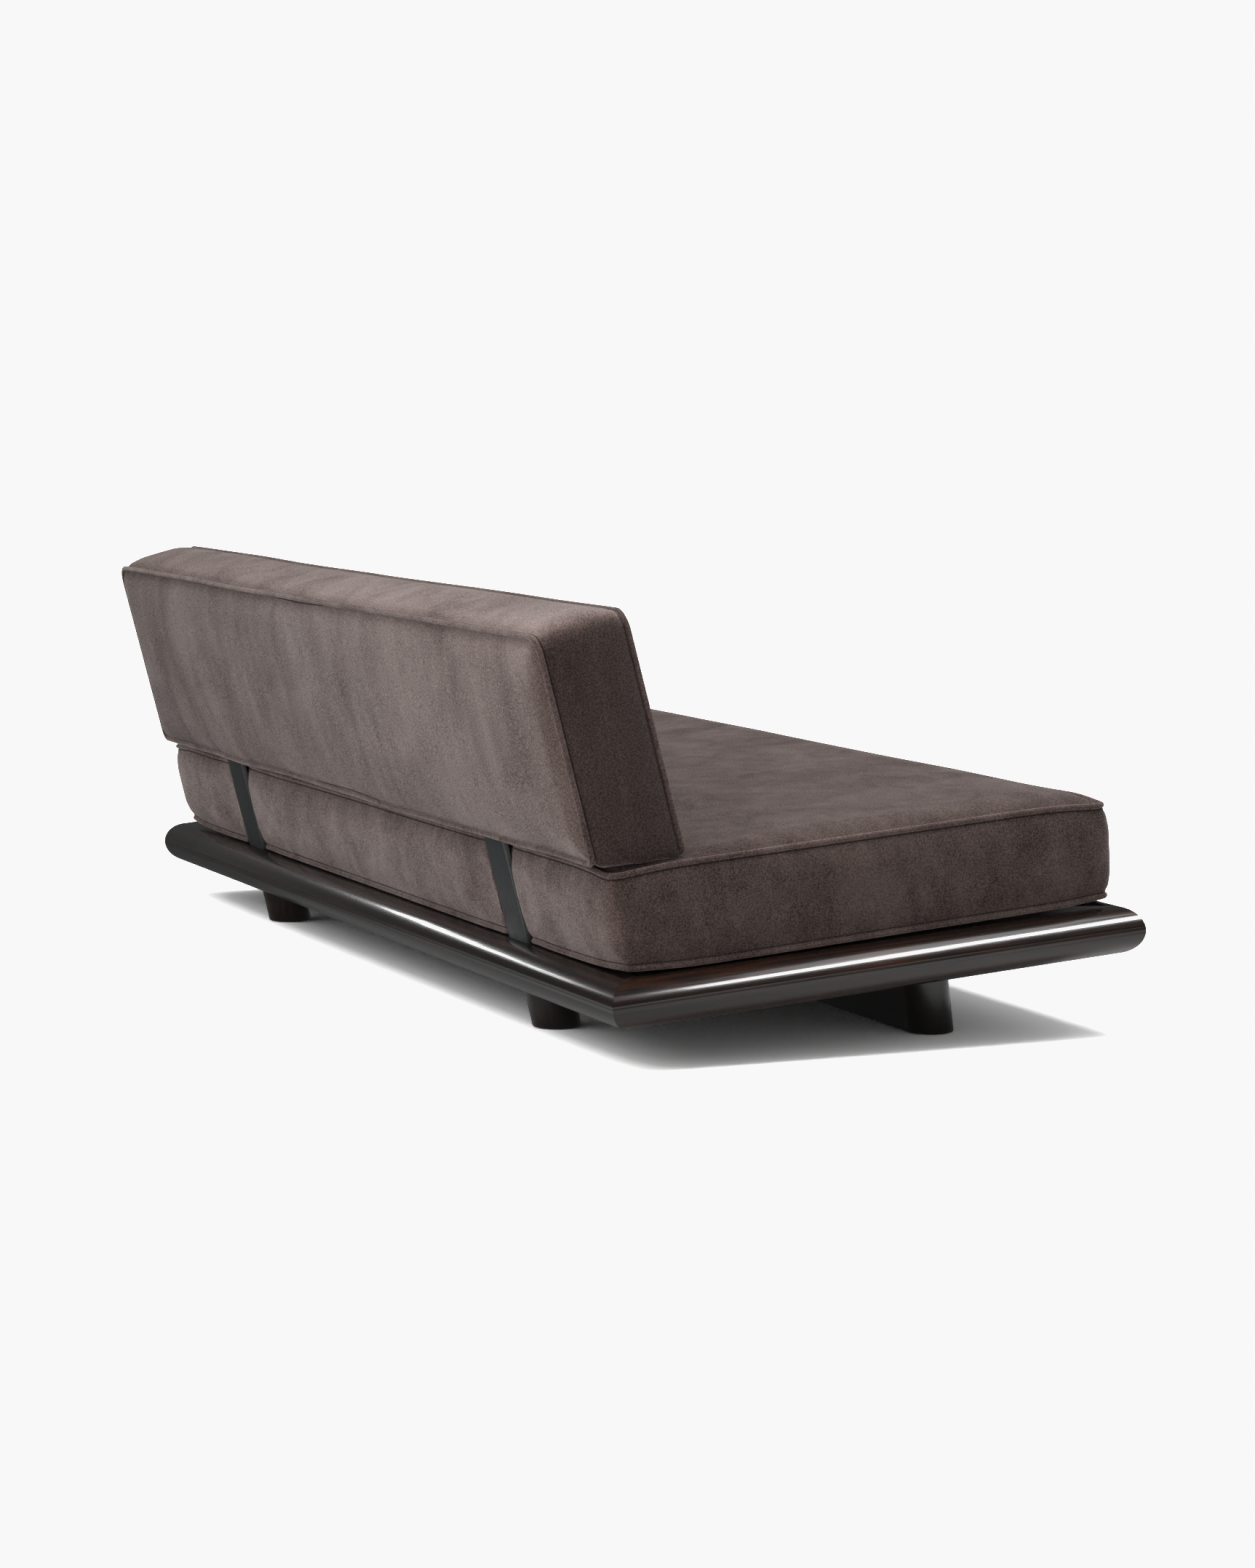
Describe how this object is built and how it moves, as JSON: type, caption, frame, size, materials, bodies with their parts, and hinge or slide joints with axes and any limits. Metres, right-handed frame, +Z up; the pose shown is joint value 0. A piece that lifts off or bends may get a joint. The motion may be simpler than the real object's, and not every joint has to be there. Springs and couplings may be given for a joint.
{
  "type": "daybed",
  "caption": "Low daybed with a raked half-round-edged wood platform, short round rear legs, a long front leg board, a piped box mattress and a strap-held back cushion.",
  "frame": {"origin": "on the floor at the centre of the object's bounding box", "axes": "+Z up from the floor, +X along the length, -Y towards the sitting side, so the straps and the back cushion stand at +Y"},
  "size_m": [2.3, 0.9932, 0.6857],
  "materials": {
    "dark_wood": "dark stained, satin lacquer",
    "plain_wood": "raw",
    "dark_steel": "blackened, satin",
    "zinc_steel": "zinc plated",
    "velvet": "short-pile velvet",
    "foam": "upholstery foam",
    "felt": "felt",
    "zip_nylon": "matte"
  },
  "bodies": {
    "platform": {"deck_panel": "dark_wood", "underside_panel": "dark_wood", "rail_front": "dark_wood", "rail_rear": "dark_wood", "rail_left": "dark_wood", "rail_right": "dark_wood", "corner_splines": "plain_wood", "rear_ribs": "plain_wood", "front_ribs": "plain_wood", "beam_block": "plain_wood", "rear_leg_left": "dark_wood", "rear_leg_right": "dark_wood", "leg_dowels": "plain_wood", "front_beam": "dark_wood", "beam_bolts": "zinc_steel", "rear_glides": "felt", "front_glides": "felt", "strap_left": "dark_steel", "strap_right": "dark_steel", "strap_bolts": "zinc_steel"},
    "mattress": {"mattress_cover": "velvet", "mattress_foam": "foam", "mattress_welt_top": "velvet", "mattress_welt_bottom": "velvet", "mattress_zip": "zip_nylon"},
    "back_cushion": {"back_cover": "velvet", "back_foam": "foam", "back_board": "plain_wood", "sleeve_left": "dark_steel", "sleeve_right": "dark_steel", "sleeve_screws": "zinc_steel", "back_welt_rear": "velvet", "back_welt_front": "velvet", "back_zip": "zip_nylon"}
  },
  "joints": [
    {"name": "backrest_lift", "type": "slide", "parent": "platform", "child": "back_cushion", "axis": [0, 0.2538, 0.9673], "range_m": [0, 0.25]},
    {"name": "mattress_slide", "type": "slide", "parent": "platform", "child": "mattress", "axis": [0, -0.9966, 0.0819], "range_m": [0, 0.9]}
  ]
}
